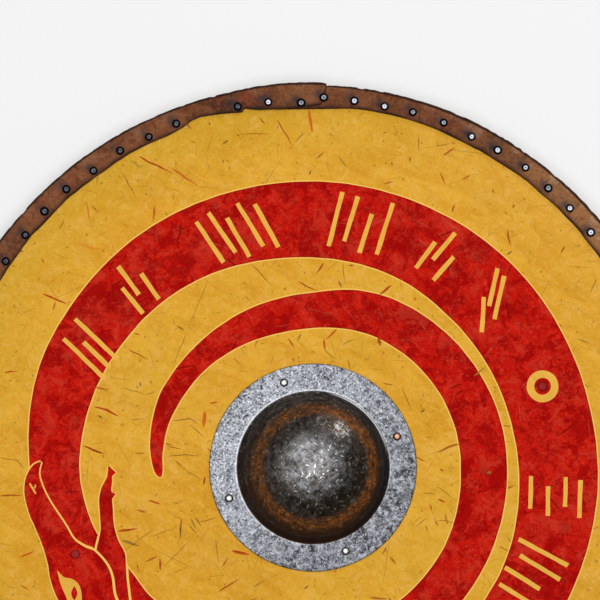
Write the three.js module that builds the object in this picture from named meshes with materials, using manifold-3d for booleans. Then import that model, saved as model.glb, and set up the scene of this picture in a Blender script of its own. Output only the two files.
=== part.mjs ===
// A round wooden shield with an iron boss, lying face up on its grip. Millimetres, +Z up.
// The origin is on the surface that the shield lies on, under the middle of the board.
// +Y points to the top of the painted face, and angles are counted from +X towards +Y.

import * as THREE from "three";
import { mergeVertices } from "three/addons/utils/BufferGeometryUtils.js";
import Module from "manifold-3d";

const wasm = await Module();
wasm.setup();

// Driving dimensions
const gap = 0.3; // left between pieces that touch
const shieldRadius = 375;
const leatherThickness = 2.2;
const boardThickness = 9;
const boardEdge = 1.5; // chamfer round the board and round its hand hole
const handHoleRadius = 62;
const boardSides = 96;

// Grip: a bar across the back, thinned at both ends, where it is nailed
const gripThickness = 16;
const gripAngle = 19.76;
const gripCentre = [0.65, -4.1];
const gripEndBottom = 7;
const gripStations = [
  { s: 0, halfWidth: 14.5, bottom: 0, edge: 6.5 },
  { s: 30, halfWidth: 14, bottom: 0, edge: 6.5 },
  { s: 50, halfWidth: 14, bottom: 0, edge: 5.5 },
  { s: 66, halfWidth: 16.5, bottom: 0, edge: 2.5 },
  { s: 90, halfWidth: 17, bottom: 0, edge: 2 },
  { s: 214, halfWidth: 16, bottom: 0, edge: 2 },
  { s: 230, halfWidth: 15.5, bottom: gripEndBottom, edge: 2 },
  { s: 250, halfWidth: 14.5, bottom: gripEndBottom, edge: 2 },
  { s: 258, halfWidth: 11.5, bottom: gripEndBottom, edge: 2 },
  { s: 262, halfWidth: 7, bottom: gripEndBottom, edge: 2 },
];
const gripNailOffset = 243.6; // along the grip, either way from its centre

// Boss: a flange and a hollow dome of one thickness, a little off the middle of the board
const bossCentre = [4, -1.5];
const bossWall = 2;
const flangeRadius = 101.9;
const filletRadius = 2; // between the flange and the neck
const neckFootRadius = 73;
const neckTopRadius = 69;
const neckHeight = 12;
const domeHeight = 60; // from the flange's underside to the top of the dome
const bossSides = 56;

// Fasteners
const rivetCircle = 87.8;
const rivetAngles = [20.3, 109, 200.1, 291.2];
const rivet = { headRadius: 3.75, headHeight: 2, shankRadius: 2.8, backRadius: 5, backHeight: 1.6 };
const gripNail = { headRadius: 5, headHeight: 2.2, shankRadius: 1.9, backRadius: 4.2, backHeight: 1.4 };
const recess = { radius: 6, depth: 3 }; // under the grip, for the ends of the rivets that go through it
const fastenerSides = 12;
const drillSides = 16;

// Leather rim: one strip folded over the edge, its last stretch laid over its first
const rimFrontRadius = 351;
const rimBackRadius = 354;
const rimCorner = 4;
const rimStart = 93.5;
const rimEnd = -272.6;
const rimLiftFrom = -257; // the strip rises between these two angles
const rimLiftTo = -266;
const rimStations = 100;

// Levels, from the ground up
const boardBack = gripThickness + gap;
const boardFront = boardBack + boardThickness;
const flangeBack = boardFront + gap;
const flangeFront = flangeBack + bossWall;

const materials = {
  board: new THREE.MeshStandardMaterial({ color: "#dc9f31", roughness: 0.6, metalness: 0 }),
  leather: new THREE.MeshStandardMaterial({ color: "#6e4530", roughness: 0.65, metalness: 0 }),
  boss: new THREE.MeshStandardMaterial({ color: "#8a8a8c", roughness: 0.4, metalness: 0.9 }),
  rivet: new THREE.MeshStandardMaterial({ color: "#b4b4b8", roughness: 0.35, metalness: 0.9 }),
  grip: new THREE.MeshStandardMaterial({ color: "#a57b4c", roughness: 0.7, metalness: 0 }),
  gripNail: new THREE.MeshStandardMaterial({ color: "#8c2a20", roughness: 0.5, metalness: 0.3 }),
};

const radians = THREE.MathUtils.degToRad;

function polar(radius, degrees, centre = [0, 0]) {
  const angle = radians(degrees);
  return [centre[0] + radius * Math.cos(angle), centre[1] + radius * Math.sin(angle)];
}

// Only positions, with shared corners merged and empty triangles left out.
function welded(geometry) {
  const bare = geometry.clone();
  bare.deleteAttribute("normal");
  bare.deleteAttribute("uv");
  const merged = mergeVertices(bare, 1e-4);
  const corners = merged.index.array;
  const kept = [];
  for (let i = 0; i < corners.length; i += 3) {
    const [a, b, c] = corners.slice(i, i + 3);
    if (a !== b && b !== c && c !== a) {
      kept.push(a, b, c);
    }
  }
  merged.setIndex(kept);
  return merged;
}

function toManifold(geometry) {
  const merged = welded(geometry);
  return new wasm.Manifold(new wasm.Mesh({
    numProp: 3,
    vertProperties: new Float32Array(merged.attributes.position.array),
    triVerts: new Uint32Array(merged.index.array),
  }));
}

function toGeometry(manifold) {
  const mesh = manifold.getMesh();
  const geometry = new THREE.BufferGeometry();
  geometry.setAttribute("position", new THREE.BufferAttribute(mesh.vertProperties, 3));
  geometry.setIndex(new THREE.BufferAttribute(mesh.triVerts, 1));
  geometry.computeVertexNormals();
  return geometry;
}

// Cuts upright round holes, each given as { at: [x, y], radius, bottom, top }.
function drilled(geometry, holes) {
  let body = toManifold(geometry);
  for (const { at, radius, bottom, top } of holes) {
    const drill = new THREE.CylinderGeometry(radius, radius, top - bottom, drillSides);
    drill.rotateX(Math.PI / 2);
    drill.translate(at[0], at[1], (top + bottom) / 2);
    body = body.subtract(toManifold(drill));
  }
  return toGeometry(body);
}

// Turns a profile of [radius, height] pairs about the upright axis.
function turned(profile, sides) {
  const points = profile.map(([radius, height]) => new THREE.Vector2(radius, height));
  const geometry = new THREE.LatheGeometry(points, sides);
  geometry.rotateX(Math.PI / 2);
  return welded(geometry);
}

// Skins a row of sections with equal numbers of corners, and closes both ends.
// outline holds the corners of one section as flat points, anticlockwise as seen from the far end.
function skinned(sections, outline) {
  const count = outline.length;
  const positions = sections.flat().flatMap((corner) => corner);
  const faces = [];
  for (let i = 0; i + 1 < sections.length; i += 1) {
    for (let j = 0; j < count; j += 1) {
      const near = i * count;
      const far = near + count;
      const next = (j + 1) % count;
      faces.push(near + j, far + next, far + j);
      faces.push(near + j, near + next, far + next);
    }
  }
  const last = (sections.length - 1) * count;
  for (const [a, b, c] of THREE.ShapeUtils.triangulateShape(outline, [])) {
    faces.push(c, b, a);
    faces.push(last + a, last + b, last + c);
  }
  const geometry = new THREE.BufferGeometry();
  geometry.setAttribute("position", new THREE.Float32BufferAttribute(positions, 3));
  geometry.setIndex(faces);
  geometry.computeVertexNormals();
  return geometry;
}

// Board: a disc with a hand hole behind the boss, drilled for the rivets and the grip's nails
function boardGeometry(fastenerHoles) {
  const disc = new THREE.Shape();
  disc.absarc(0, 0, shieldRadius - leatherThickness - gap, 0, Math.PI * 2);
  const handHole = new THREE.Path();
  handHole.absarc(...bossCentre, handHoleRadius, 0, Math.PI * 2, true);
  disc.holes.push(handHole);
  const geometry = new THREE.ExtrudeGeometry(disc, {
    depth: boardThickness - 2 * boardEdge,
    curveSegments: boardSides / 2,
    bevelSegments: 1,
    bevelSize: boardEdge,
    bevelThickness: boardEdge,
    bevelOffset: -boardEdge,
  });
  geometry.translate(0, 0, boardBack + boardEdge);
  return drilled(geometry, fastenerHoles);
}

// Corners of the folded strip's section as [radius, height], raised off the edge by lift
function rimSection(lift) {
  const outer = shieldRadius + lift;
  const front = boardFront + gap + leatherThickness + lift;
  const back = boardBack - gap - leatherThickness - lift;
  const bend = (radius, middle, from) => [0, 45, 90].map((step) => {
    const [x, y] = polar(radius, from + step);
    return [outer - rimCorner + x, middle + y];
  });
  const frontBend = front - rimCorner;
  const backBend = back + rimCorner;
  const inside = rimCorner - leatherThickness;
  return [
    [rimBackRadius, back + leatherThickness],
    [rimBackRadius, back],
    ...bend(rimCorner, backBend, -90),
    ...bend(rimCorner, frontBend, 0),
    [rimFrontRadius, front],
    [rimFrontRadius, front - leatherThickness],
    ...bend(inside, frontBend, 0).reverse(),
    ...bend(inside, backBend, -90).reverse(),
  ];
}

function rimGeometry() {
  const sections = [];
  for (let i = 0; i <= rimStations; i += 1) {
    const degrees = THREE.MathUtils.lerp(rimStart, rimEnd, i / rimStations);
    const rise = THREE.MathUtils.smoothstep(-degrees, -rimLiftFrom, -rimLiftTo);
    const corners = rimSection(rise * (leatherThickness + gap));
    sections.push(corners.map(([radius, height]) => [...polar(radius, degrees), height]));
  }
  const outline = rimSection(0).map(([radius, height]) => new THREE.Vector2(radius, height));
  return skinned(sections, outline);
}

// Boss: the inner side from the crown out to the flange's edge, then the outer side back to the crown
function bossSide(inset) {
  const footHeight = bossWall - inset;
  const fillet = filletRadius + inset;
  const points = [];
  for (const step of [0, 30, 60, 85]) {
    const angle = radians(step);
    points.push([
      neckFootRadius - inset + fillet * (1 - Math.sin(angle)),
      footHeight + fillet * (1 - Math.cos(angle)),
    ]);
  }
  for (let step = 0; step <= 90; step += 10) {
    const [x, y] = polar(1, step);
    points.push([(neckTopRadius - inset) * x, neckHeight + (domeHeight - neckHeight) * y - inset * y]);
  }
  points[points.length - 1][0] = 0;
  return points;
}

function bossGeometry(holes) {
  const profile = [
    ...bossSide(bossWall).reverse(),
    [flangeRadius, 0],
    [flangeRadius, bossWall - 0.4],
    [flangeRadius - 0.4, bossWall],
    ...bossSide(0),
  ];
  const geometry = turned(profile, bossSides);
  geometry.translate(...bossCentre, flangeBack);
  return drilled(geometry, holes);
}

// Grip: an eight-sided bar laid along +X, then turned to its place
function gripGeometry(holes) {
  const section = ({ halfWidth, bottom, edge }) => [
    [edge - halfWidth, gripThickness],
    [-halfWidth, gripThickness - edge],
    [-halfWidth, bottom + edge],
    [edge - halfWidth, bottom],
    [halfWidth - edge, bottom],
    [halfWidth, bottom + edge],
    [halfWidth, gripThickness - edge],
    [halfWidth - edge, gripThickness],
  ];
  const farHalf = gripStations.slice(1);
  const nearHalf = farHalf.map((station) => ({ ...station, s: -station.s })).reverse();
  const stations = [...nearHalf, ...gripStations];
  const sections = stations.map((station) => (
    section(station).map(([across, height]) => [station.s, across, height])
  ));
  const outline = section(stations[0]).map(([across, height]) => new THREE.Vector2(across, height));
  const geometry = skinned(sections, outline);
  geometry.rotateZ(radians(gripAngle));
  geometry.translate(...gripCentre, 0);
  return drilled(geometry, holes);
}

// Rivet or nail: a domed head on top, a shank, and a flat clenched end below
function fastenerGeometry(kind, headSeat, backSeat) {
  const dome = [72, 50, 25, 0].map((step) => {
    const [x, y] = polar(1, step);
    return [kind.headRadius * x, headSeat + kind.headHeight * y];
  });
  return turned([
    [0, backSeat - kind.backHeight],
    [kind.backRadius * 0.8, backSeat - kind.backHeight],
    [kind.backRadius, backSeat - kind.backHeight * 0.5],
    [kind.backRadius, backSeat],
    [kind.shankRadius, backSeat],
    [kind.shankRadius, headSeat],
    ...dome.reverse(),
    [0, headSeat + kind.headHeight],
  ], fastenerSides);
}

const shield = new THREE.Group();

function addPiece(name, geometry, material, at = [0, 0]) {
  const mesh = new THREE.Mesh(geometry, material);
  mesh.name = name;
  mesh.position.set(at[0], at[1], 0);
  shield.add(mesh);
}

// Where the fasteners stand. The first and third rivets also hold the grip.
const rivets = rivetAngles.map((degrees, index) => ({
  at: polar(rivetCircle, degrees, bossCentre),
  throughGrip: index % 2 === 0,
}));
const gripNails = [1, -1].map((side) => polar(side * gripNailOffset, gripAngle, gripCentre));

const rivetHoles = rivets.map(({ at }) => (
  { at, radius: rivet.shankRadius + gap, bottom: -1, top: flangeFront + 1 }
));
const nailHoles = gripNails.map((at) => (
  { at, radius: gripNail.shankRadius + gap, bottom: -1, top: boardFront + 1 }
));
const gripRivets = rivets.filter(({ throughGrip }) => throughGrip);
const gripRivetHoles = rivetHoles.filter((hole, index) => rivets[index].throughGrip);
const gripRecesses = gripRivets.map(({ at }) => (
  { at, radius: recess.radius, bottom: -1, top: recess.depth }
));

addPiece("shield_board", boardGeometry([...rivetHoles, ...nailHoles]), materials.board);
addPiece("leather_rim", rimGeometry(), materials.leather);
addPiece("iron_boss", bossGeometry(rivetHoles), materials.boss);
addPiece("wooden_grip", gripGeometry([...gripRivetHoles, ...nailHoles, ...gripRecesses]), materials.grip);
rivets.forEach(({ at, throughGrip }, index) => {
  const backSeat = (throughGrip ? recess.depth : boardBack) - gap;
  const geometry = fastenerGeometry(rivet, flangeFront + gap, backSeat);
  addPiece(`boss_rivet_${index + 1}`, geometry, materials.rivet, at);
});
gripNails.forEach((at, index) => {
  const geometry = fastenerGeometry(gripNail, boardFront + gap, gripEndBottom - gap);
  addPiece(`grip_nail_${index + 1}`, geometry, materials.gripNail, at);
});

export default shield;
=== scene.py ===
import math
import random

import bmesh
import bpy
from mathutils import Matrix, Vector, noise
from mathutils.bvhtree import BVHTree


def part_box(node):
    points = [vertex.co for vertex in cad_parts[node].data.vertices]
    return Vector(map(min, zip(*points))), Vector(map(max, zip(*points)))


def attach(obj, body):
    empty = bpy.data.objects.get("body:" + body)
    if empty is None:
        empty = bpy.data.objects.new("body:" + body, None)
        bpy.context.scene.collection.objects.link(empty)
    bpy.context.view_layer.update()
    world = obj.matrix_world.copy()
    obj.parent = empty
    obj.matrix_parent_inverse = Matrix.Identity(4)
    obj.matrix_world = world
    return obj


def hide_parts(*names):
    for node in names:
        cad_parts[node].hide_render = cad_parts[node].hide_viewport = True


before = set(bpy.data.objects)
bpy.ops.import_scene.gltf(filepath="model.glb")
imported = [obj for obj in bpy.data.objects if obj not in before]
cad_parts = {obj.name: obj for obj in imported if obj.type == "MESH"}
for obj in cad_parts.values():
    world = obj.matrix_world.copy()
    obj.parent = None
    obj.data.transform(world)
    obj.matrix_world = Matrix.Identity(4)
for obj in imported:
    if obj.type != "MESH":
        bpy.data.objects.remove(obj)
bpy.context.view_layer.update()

mm = 0.001
boardLow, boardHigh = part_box("shield_board")
bossLow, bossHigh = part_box("iron_boss")
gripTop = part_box("wooden_grip")[1].z
boardTop = boardHigh.z
boardRadius = (boardHigh.x - boardLow.x) / 2
bossMiddle = (bossLow + bossHigh) / 2
gripAngle = math.radians(19.76)  # how the grip and its grain are turned


class Wire:  # a socket that sums and products can be written with
    def __init__(self, finish, socket):
        self.finish = finish
        self.socket = socket

    def maths(self, operation, first, second):
        return self.finish.node("ShaderNodeMath", {"operation": operation}, {0: first, 1: second})

    def output(self, name):  # another output of the same node
        return Wire(self.finish, self.socket.node.outputs[name])

    def __add__(self, other):
        return self.maths("ADD", self, other)

    def __radd__(self, other):
        return self.maths("ADD", other, self)

    def __sub__(self, other):
        return self.maths("SUBTRACT", self, other)

    def __rsub__(self, other):
        return self.maths("SUBTRACT", other, self)

    def __mul__(self, other):
        return self.maths("MULTIPLY", self, other)

    def __rmul__(self, other):
        return self.maths("MULTIPLY", other, self)

    def __truediv__(self, other):
        return self.maths("DIVIDE", self, other)

    def __rtruediv__(self, other):
        return self.maths("DIVIDE", other, self)


class Finish:  # one material, built node by node
    def __init__(self, name):
        self.material = bpy.data.materials.new(name)
        self.material.use_nodes = True
        self.tree = self.material.node_tree
        self.tree.nodes.clear()
        self.place = self.node("ShaderNodeTexCoord", {}, {}, "Object")

    def node(self, kind, settings, inputs, output=0):
        made = self.tree.nodes.new(kind)
        for key, value in settings.items():
            if key == "stops":
                while len(made.color_ramp.elements) < len(value):
                    made.color_ramp.elements.new(1)
                for element, (position, colour) in zip(made.color_ramp.elements, value):
                    element.position = position
                    element.color = (*colour, 1)
            else:
                setattr(made, key, value)
        for key, value in inputs.items():
            if isinstance(value, Wire):
                self.tree.links.new(value.socket, made.inputs[key])
            else:
                made.inputs[key].default_value = value
        return Wire(self, made.outputs[output] if made.outputs else None)

    def ramp(self, value, *stops):
        return self.node("ShaderNodeValToRGB", {"stops": stops}, {"Fac": value})

    def step(self, value, low, high):  # 0 below low, 1 above high
        return self.node("ShaderNodeMapRange", {"interpolation_type": "SMOOTHSTEP"},
                         {"Value": value, "From Min": low, "From Max": high})

    def mix(self, first, second, amount):
        first, second = [(*c, 1) if isinstance(c, tuple) else c for c in (first, second)]
        return self.node("ShaderNodeMix", {"data_type": "RGBA"}, {0: amount, 6: first, 7: second}, 2)

    def wash(self, colour, tint, pattern, low, high, strength):  # tint as pattern goes low to high
        return self.mix(colour, tint, self.step(pattern, low, high) * strength)

    def length(self, place):
        return self.node("ShaderNodeVectorMath", {"operation": "LENGTH"}, {0: place}, "Value")

    def vector(self, operation, first, second):
        return self.node("ShaderNodeVectorMath", {"operation": operation}, {0: first, 1: second})

    def split(self, place):
        first = self.node("ShaderNodeSeparateXYZ", {}, {0: place})
        return first, first.output("Y"), first.output("Z")

    def noise(self, scale, detail=3, roughness=0.55, place=None, warp=0.0):
        return self.node("ShaderNodeTexNoise", {}, {
            "Vector": place or self.place, "Scale": scale, "Detail": detail,
            "Roughness": roughness, "Distortion": warp})

    def mapped(self, scale, shift=(0, 0, 0), turn=0.0):  # turned about the upright axis, then stretched
        turned = self.node("ShaderNodeMapping", {}, {"Vector": self.place, "Rotation": (0, 0, turn)})
        return self.node("ShaderNodeMapping", {}, {"Vector": turned, "Location": shift, "Scale": scale})

    def attribute(self, name):
        return self.node("ShaderNodeAttribute", {"attribute_name": name}, {}, "Fac")

    def bump(self, height, depth, strength=1.0):
        return self.node("ShaderNodeBump", {}, {"Strength": strength, "Distance": depth, "Height": height})

    def surface(self, inputs):
        shader = self.node("ShaderNodeBsdfPrincipled", {}, inputs)
        self.node("ShaderNodeOutputMaterial", {}, {"Surface": shader})
        return self.material


# One stroke in each cell of a loose pattern, leaning about the way out from the middle.
# Sizes are in cells: reach is half a stroke's length, and width half its breadth.
def strokes(finish, cellsPerMetre, reach, width, lean, share, shift):
    spot = finish.mapped((cellsPerMetre,) * 3, shift=(shift, shift * 1.7, 0))
    cell = finish.node("ShaderNodeTexVoronoi", {"voronoi_dimensions": "2D"},
                       {"Vector": spot, "Scale": 1, "Randomness": 0.75}, "Color")
    centre = cell.output("Position")
    chance, turnBy, size = finish.split(cell)
    offX, offY, _ = finish.split(finish.vector("SUBTRACT", spot, centre))
    outX, outY, _ = finish.split(finish.vector("SUBTRACT", centre, (shift, shift * 1.7, 0)))
    angle = outY.maths("ARCTAN2", outY, outX) + (turnBy - 0.5) * lean
    cosine = angle.maths("COSINE", angle, 0.0)
    sine = angle.maths("SINE", angle, 0.0)
    along = (offX * cosine + offY * sine) / (reach * (size * 0.7 + 0.3))
    wobble = (finish.noise(1.6, 2, place=spot) - 0.5) * (width * 5)
    across = offY * cosine - offX * sine + wobble
    taper = 1 - along * along
    gap = width * taper - across.maths("ABSOLUTE", across, 0.0)
    return finish.step(gap, 0, width * 0.6) * finish.step(chance, 1 - share, 1.001 - share), size


boardFinish = {
    "yellow": (0.678, 0.340, 0.019), "deep": (0.570, 0.250, 0.013), "light": (0.775, 0.422, 0.044),
    "green": (0.560, 0.325, 0.022), "olive": (0.34, 0.185, 0.020), "rust": (0.36, 0.075, 0.008),
    "red": (0.42, 0.022, 0.006), "dark": (0.085, 0.050, 0.022), "pale": (0.82, 0.50, 0.12),
    "orange": (0.66, 0.20, 0.014), "milky": (0.745, 0.415, 0.085), "outline": (0.90, 0.53, 0.115),
}


def yellowPaint(name, wear=1.0, paler=0.0):
    look = boardFinish
    finish = Finish(name)
    broad = finish.noise(6, 4, 0.6)
    brush = finish.noise(1, 4, 0.65, place=finish.mapped((16, 60, 30), turn=0.5), warp=0.8)
    colour = finish.mix(look["deep"], look["light"], finish.step(brush * 0.6 + broad * 0.4, 0.33, 0.66))
    colour = finish.mix(colour, look["yellow"], 0.30)
    colour = finish.wash(colour, look["green"], broad, 0.50, 0.68, 0.45)
    outward = finish.length(finish.mapped((1, 1, 0)))
    fromLeft, _, _ = finish.split(finish.place)
    aged = finish.step(outward, 0.285, 0.355)
    toRight = finish.step(fromLeft, -0.05, 0.26)
    colour = finish.mix(colour, look["green"], aged * (0.75 - toRight * 0.70))
    colour = finish.mix(colour, look["milky"], aged * toRight * 0.22)
    scuff = finish.step(finish.noise(13, 5, 0.72, warp=1.2), 0.60, 0.74)
    colour = finish.mix(colour, look["pale"], scuff * (0.30 * wear))
    warm = finish.step(finish.noise(24, 5, 0.72, warp=0.8), 0.60, 0.76)
    colour = finish.mix(colour, look["orange"], warm * (0.30 * wear))
    cloud = finish.step(finish.noise(42, 5, 0.74, warp=0.7), 0.56, 0.76)
    colour = finish.mix(colour, look["olive"], cloud * (0.34 * wear))
    blotch = finish.noise(100, 4, 0.72, warp=0.5)
    colour = finish.wash(colour, look["deep"], blotch, 0.50, 0.68, 0.42)
    colour = finish.wash(colour, look["milky"], blotch, 0.48, 0.34, 0.55)
    colour = finish.wash(colour, look["milky"], finish.noise(17, 5, 0.75, warp=1.0), 0.54, 0.70, 0.35)
    grain = finish.noise(430, 3, 0.65)
    colour = finish.wash(colour, look["deep"], grain, 0.48, 0.66, 0.28)
    colour = finish.wash(colour, look["milky"], grain, 0.47, 0.34, 0.34)
    speck = finish.step(finish.noise(210, 2, 0.6), 0.66, 0.73)
    colour = finish.mix(colour, look["olive"], speck * (0.75 * wear))
    if wear < 0.5:
        relief = grain * 0.5 - speck * 0.3
        colour = finish.mix(colour, look["outline"], paler)
        colour = finish.mix(colour, look["outline"], finish.attribute("edge") * 0.5)
    else:
        relief = grain * 0.3
        # scratches: cells in a metre, half length, half breadth, lean, share, shift, stops, strength
        plan = [
            (52, 0.48, 0.016, 5.0, 0.60, 3.1, ((0.0, look["olive"]), (1.0, look["dark"])), 0.50),
            (33, 0.50, 0.011, 2.4, 0.60, 5.7, ((0.0, look["olive"]), (1.0, look["rust"])), 0.62),
            (11, 0.50, 0.004, 6.0, 0.55, 1.9, ((0.0, look["olive"]), (1.0, look["dark"])), 0.60),
            (58, 0.17, 0.050, 4.0, 0.34, 8.3, ((0.3, look["dark"]), (0.7, look["rust"])), 0.62),
            (25, 0.24, 0.026, 2.6, 0.46, 7.7,
             ((0.3, look["dark"]), (0.5, look["rust"]), (0.8, look["olive"])), 0.85),
            (17, 0.26, 0.021, 2.0, 0.36, 2.3,
             ((0.3, look["rust"]), (0.6, look["red"]), (0.9, look["orange"])), 0.85),
        ]
        for cells, reach, width, lean, share, shift, stops, strength in plan:
            cut, tone = strokes(finish, cells, reach, width, lean, share, shift)
            colour = finish.mix(colour, finish.ramp(tone, *stops), cut * strength)
            relief = relief - cut * strength * 0.8
    return finish.surface({
        "Base Color": colour, "Roughness": 0.60 + grain * 0.15, "Specular IOR Level": 0.04,
        "Normal": finish.bump(relief, 0.3 * mm, 0.7)})


nickFinish = [(0.02, (0.075, 0.048, 0.026)), (0.25, (0.33, 0.185, 0.024)), (0.5, (0.29, 0.060, 0.010)),
              (0.75, (0.36, 0.018, 0.005)), (0.98, (0.56, 0.115, 0.010))]


def nickedPaint():  # bruised and bared spots: each vertex says how far from soot to orange it is
    finish = Finish("nicked_paint")
    fine = finish.noise(500, 3, 0.7)
    tone = finish.attribute("tone") + (fine - 0.5) * 0.35
    colour = finish.ramp(tone, *nickFinish)
    colour = finish.mix(colour, boardFinish["deep"], finish.attribute("edge") * 0.45)
    return finish.surface({
        "Base Color": colour, "Roughness": 0.6 + fine * 0.2, "Specular IOR Level": 0.05,
        "Normal": finish.bump(fine, 0.3 * mm, 0.8)})


redFinish = {
    "red": (0.490, 0.0048, 0.0016), "deep": (0.310, 0.0008, 0.0006), "bright": (0.610, 0.014, 0.004),
    "pink": (0.490, 0.026, 0.012), "edge": (0.14, 0.0012, 0.0008), "pale": (0.60, 0.13, 0.07),
    "rose": (0.580, 0.058, 0.027), "wine": (0.220, 0.0008, 0.0006),
}


def redPaint():
    look = redFinish
    finish = Finish("red_paint")
    patch = finish.noise(23, 6, 0.70, warp=0.6)
    blot = finish.noise(60, 4, 0.62, warp=0.5)
    brush = finish.noise(1, 5, 0.72, place=finish.mapped((45, 110, 60), turn=0.9), warp=0.7)
    fine = finish.noise(230, 4, 0.75)
    colour = finish.mix(look["red"], look["bright"], finish.step(brush, 0.46, 0.68))
    colour = finish.wash(colour, look["pink"], finish.noise(12, 4, 0.6), 0.54, 0.70, 0.50)
    colour = finish.wash(colour, look["deep"], patch, 0.53, 0.59, 0.85)
    colour = finish.wash(colour, look["deep"], blot, 0.57, 0.61, 0.85)
    colour = finish.wash(colour, look["deep"], fine, 0.50, 0.66, 0.55)
    colour = finish.wash(colour, look["pink"], fine, 0.44, 0.30, 0.70)
    rubbedAndShine = finish.noise(1, 4, 0.75, place=finish.mapped((120, 330, 200), turn=-0.6), warp=0.6)
    colour = finish.wash(colour, look["rose"], rubbedAndShine, 0.52, 0.68, 0.34)
    chalky = finish.noise(34, 6, 0.78, warp=0.9)
    colour = finish.wash(colour, look["rose"], chalky, 0.53, 0.66, 0.34)
    colour = finish.wash(colour, look["wine"], chalky, 0.46, 0.36, 0.50)
    grain = finish.noise(560, 3, 0.7)
    colour = finish.wash(colour, look["rose"], grain, 0.54, 0.70, 0.34)
    colour = finish.wash(colour, look["wine"], grain, 0.46, 0.33, 0.50)
    colour = finish.wash(colour, look["wine"], finish.noise(130, 4, 0.7), 0.56, 0.70, 0.55)
    blotch = finish.noise(44, 5, 0.66, warp=0.7)
    colour = finish.wash(colour, look["deep"], blotch, 0.545, 0.575, 0.75)
    colour = finish.wash(colour, look["rose"], blotch, 0.45, 0.38, 0.26)
    relief = fine * 0.30 + patch * 0.30 + grain * 0.20
    plan = [
        (30, 0.46, 0.013, 5.0, 0.45, 5.3, look["pale"], 0.40),
        (46, 0.30, 0.020, 5.0, 0.40, 3.7, look["deep"], 0.75),
        (19, 0.34, 0.020, 2.4, 0.38, 9.9, look["edge"], 0.75),
    ]
    for cells, reach, width, lean, share, shift, tint, strength in plan:
        cut, _ = strokes(finish, cells, reach, width, lean, share, shift)
        colour = finish.mix(colour, tint, cut * strength)
        relief = relief - cut * strength
    colour = finish.mix(colour, look["edge"], finish.attribute("edge") * 0.60)
    return finish.surface({
        "Base Color": colour, "Roughness": 0.55 + fine * 0.18, "Specular IOR Level": 0.02,
        "Normal": finish.bump(relief, 0.3 * mm, 0.7)})


def bareWood(name, pale, dark, turn=0.0):
    finish = Finish(name)
    lengthways = finish.mapped((7, 90, 40), turn=-turn)
    rings = finish.noise(1, 5, 0.6, place=lengthways, warp=0.5)
    fibres = finish.noise(6, 4, 0.7, place=lengthways)
    colour = finish.ramp(rings, (0.3, dark), (0.48, pale), (0.62, dark), (0.75, pale))
    colour = finish.wash(colour, dark, fibres, 0.5, 0.75, 0.5)
    colour = finish.wash(colour, dark, finish.noise(9, 3, 0.5), 0.5, 0.8, 0.4)
    return finish.surface({
        "Base Color": colour, "Roughness": 0.6 + fibres * 0.2, "Specular IOR Level": 0.3,
        "Normal": finish.bump(rings * 0.5 + fibres * 0.5, 0.35 * mm, 0.5)})


leatherFinish = {
    "brown": (0.138, 0.041, 0.013), "tan": (0.240, 0.086, 0.032), "dark": (0.048, 0.015, 0.006),
    "rust": (0.205, 0.036, 0.014), "stain": (0.020, 0.022, 0.030), "edge": (0.014, 0.005, 0.004),
    "scuff": (0.44, 0.27, 0.17), "paleTowardsRight": (0.42, 0.21, 0.080),
}


def leather():
    look = leatherFinish
    finish = Finish("rim_leather")
    broad = finish.noise(13, 4, 0.6, warp=0.5)
    mottle = finish.noise(55, 5, 0.72, warp=0.8)
    fine = finish.noise(300, 3, 0.7)
    colour = finish.ramp(broad * 0.55 + mottle * 0.45,
                         (0.37, look["dark"]), (0.46, look["brown"]), (0.60, look["tan"]))
    colour = finish.wash(colour, look["rust"], finish.noise(40, 4, 0.7, warp=0.6), 0.55, 0.66, 0.65)
    across, _, _ = finish.split(finish.place)
    # paler towards the right
    colour = finish.wash(colour, look["paleTowardsRight"], across, 0.13, 0.31, 0.48)
    colour = finish.wash(colour, look["dark"], finish.noise(90, 4, 0.7), 0.52, 0.70, 0.60)
    colour = finish.wash(colour, look["dark"], fine, 0.50, 0.66, 0.50)
    colour = finish.wash(colour, look["tan"], fine, 0.46, 0.33, 0.45)
    radius = finish.length(finish.mapped((1, 1, 0)))
    outward = finish.step(radius, 357 * mm, 372 * mm)
    wearAndShine = finish.step(finish.noise(62, 5, 0.78) + outward * 0.08, 0.57, 0.68)
    colour = finish.mix(colour, look["scuff"], wearAndShine * (finish.step(across, 0.05, 0.28) * 0.34 + 0.12))
    colour = finish.wash(colour, look["dark"], 1 - across / 0.06 * (across / 0.06), 0.0, 1.0, 0.10)
    crease, _ = strokes(finish, 38, 0.46, 0.014, 1.2, 0.6, 4.4)
    colour = finish.mix(colour, look["edge"], crease * 0.55)
    colour = finish.mix(colour, look["stain"], finish.attribute("stain"))
    # dark cut edges of the strip, partly painted shadow along them
    colour = finish.mix(colour, look["edge"], finish.attribute("edge"))
    pores = finish.node("ShaderNodeTexVoronoi", {}, {"Vector": finish.place, "Scale": 650})
    return finish.surface({
        "Base Color": colour, "Roughness": 0.52 + mottle * 0.25, "Specular IOR Level": 0.10,
        "Normal": finish.bump(pores * 0.4 + mottle - crease * 0.6, 0.4 * mm, 0.8)})


bossFinish = {
    "white": (0.62, 0.64, 0.69), "pale": (0.28, 0.29, 0.32), "grey": (0.155, 0.16, 0.175),
    "black": (0.020, 0.020, 0.024), "steel": (0.205, 0.207, 0.214), "dull": (0.115, 0.112, 0.113),
    "soot": (0.022, 0.017, 0.014), "rust": (0.360, 0.120, 0.022), "umber": (0.140, 0.056, 0.016),
    "wallShadeBlack": (0.013, 0.012, 0.012), "wallShadeBrown": (0.034, 0.013, 0.004), "silver": (0.66, 0.66, 0.64),
    "gold": (0.42, 0.21, 0.06), "bronze": (0.088, 0.050, 0.025), "straw": (0.50, 0.40, 0.24),
    "ringRadius": 56.0 * mm, "domeRadius": 75.2 * mm,
}


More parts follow.
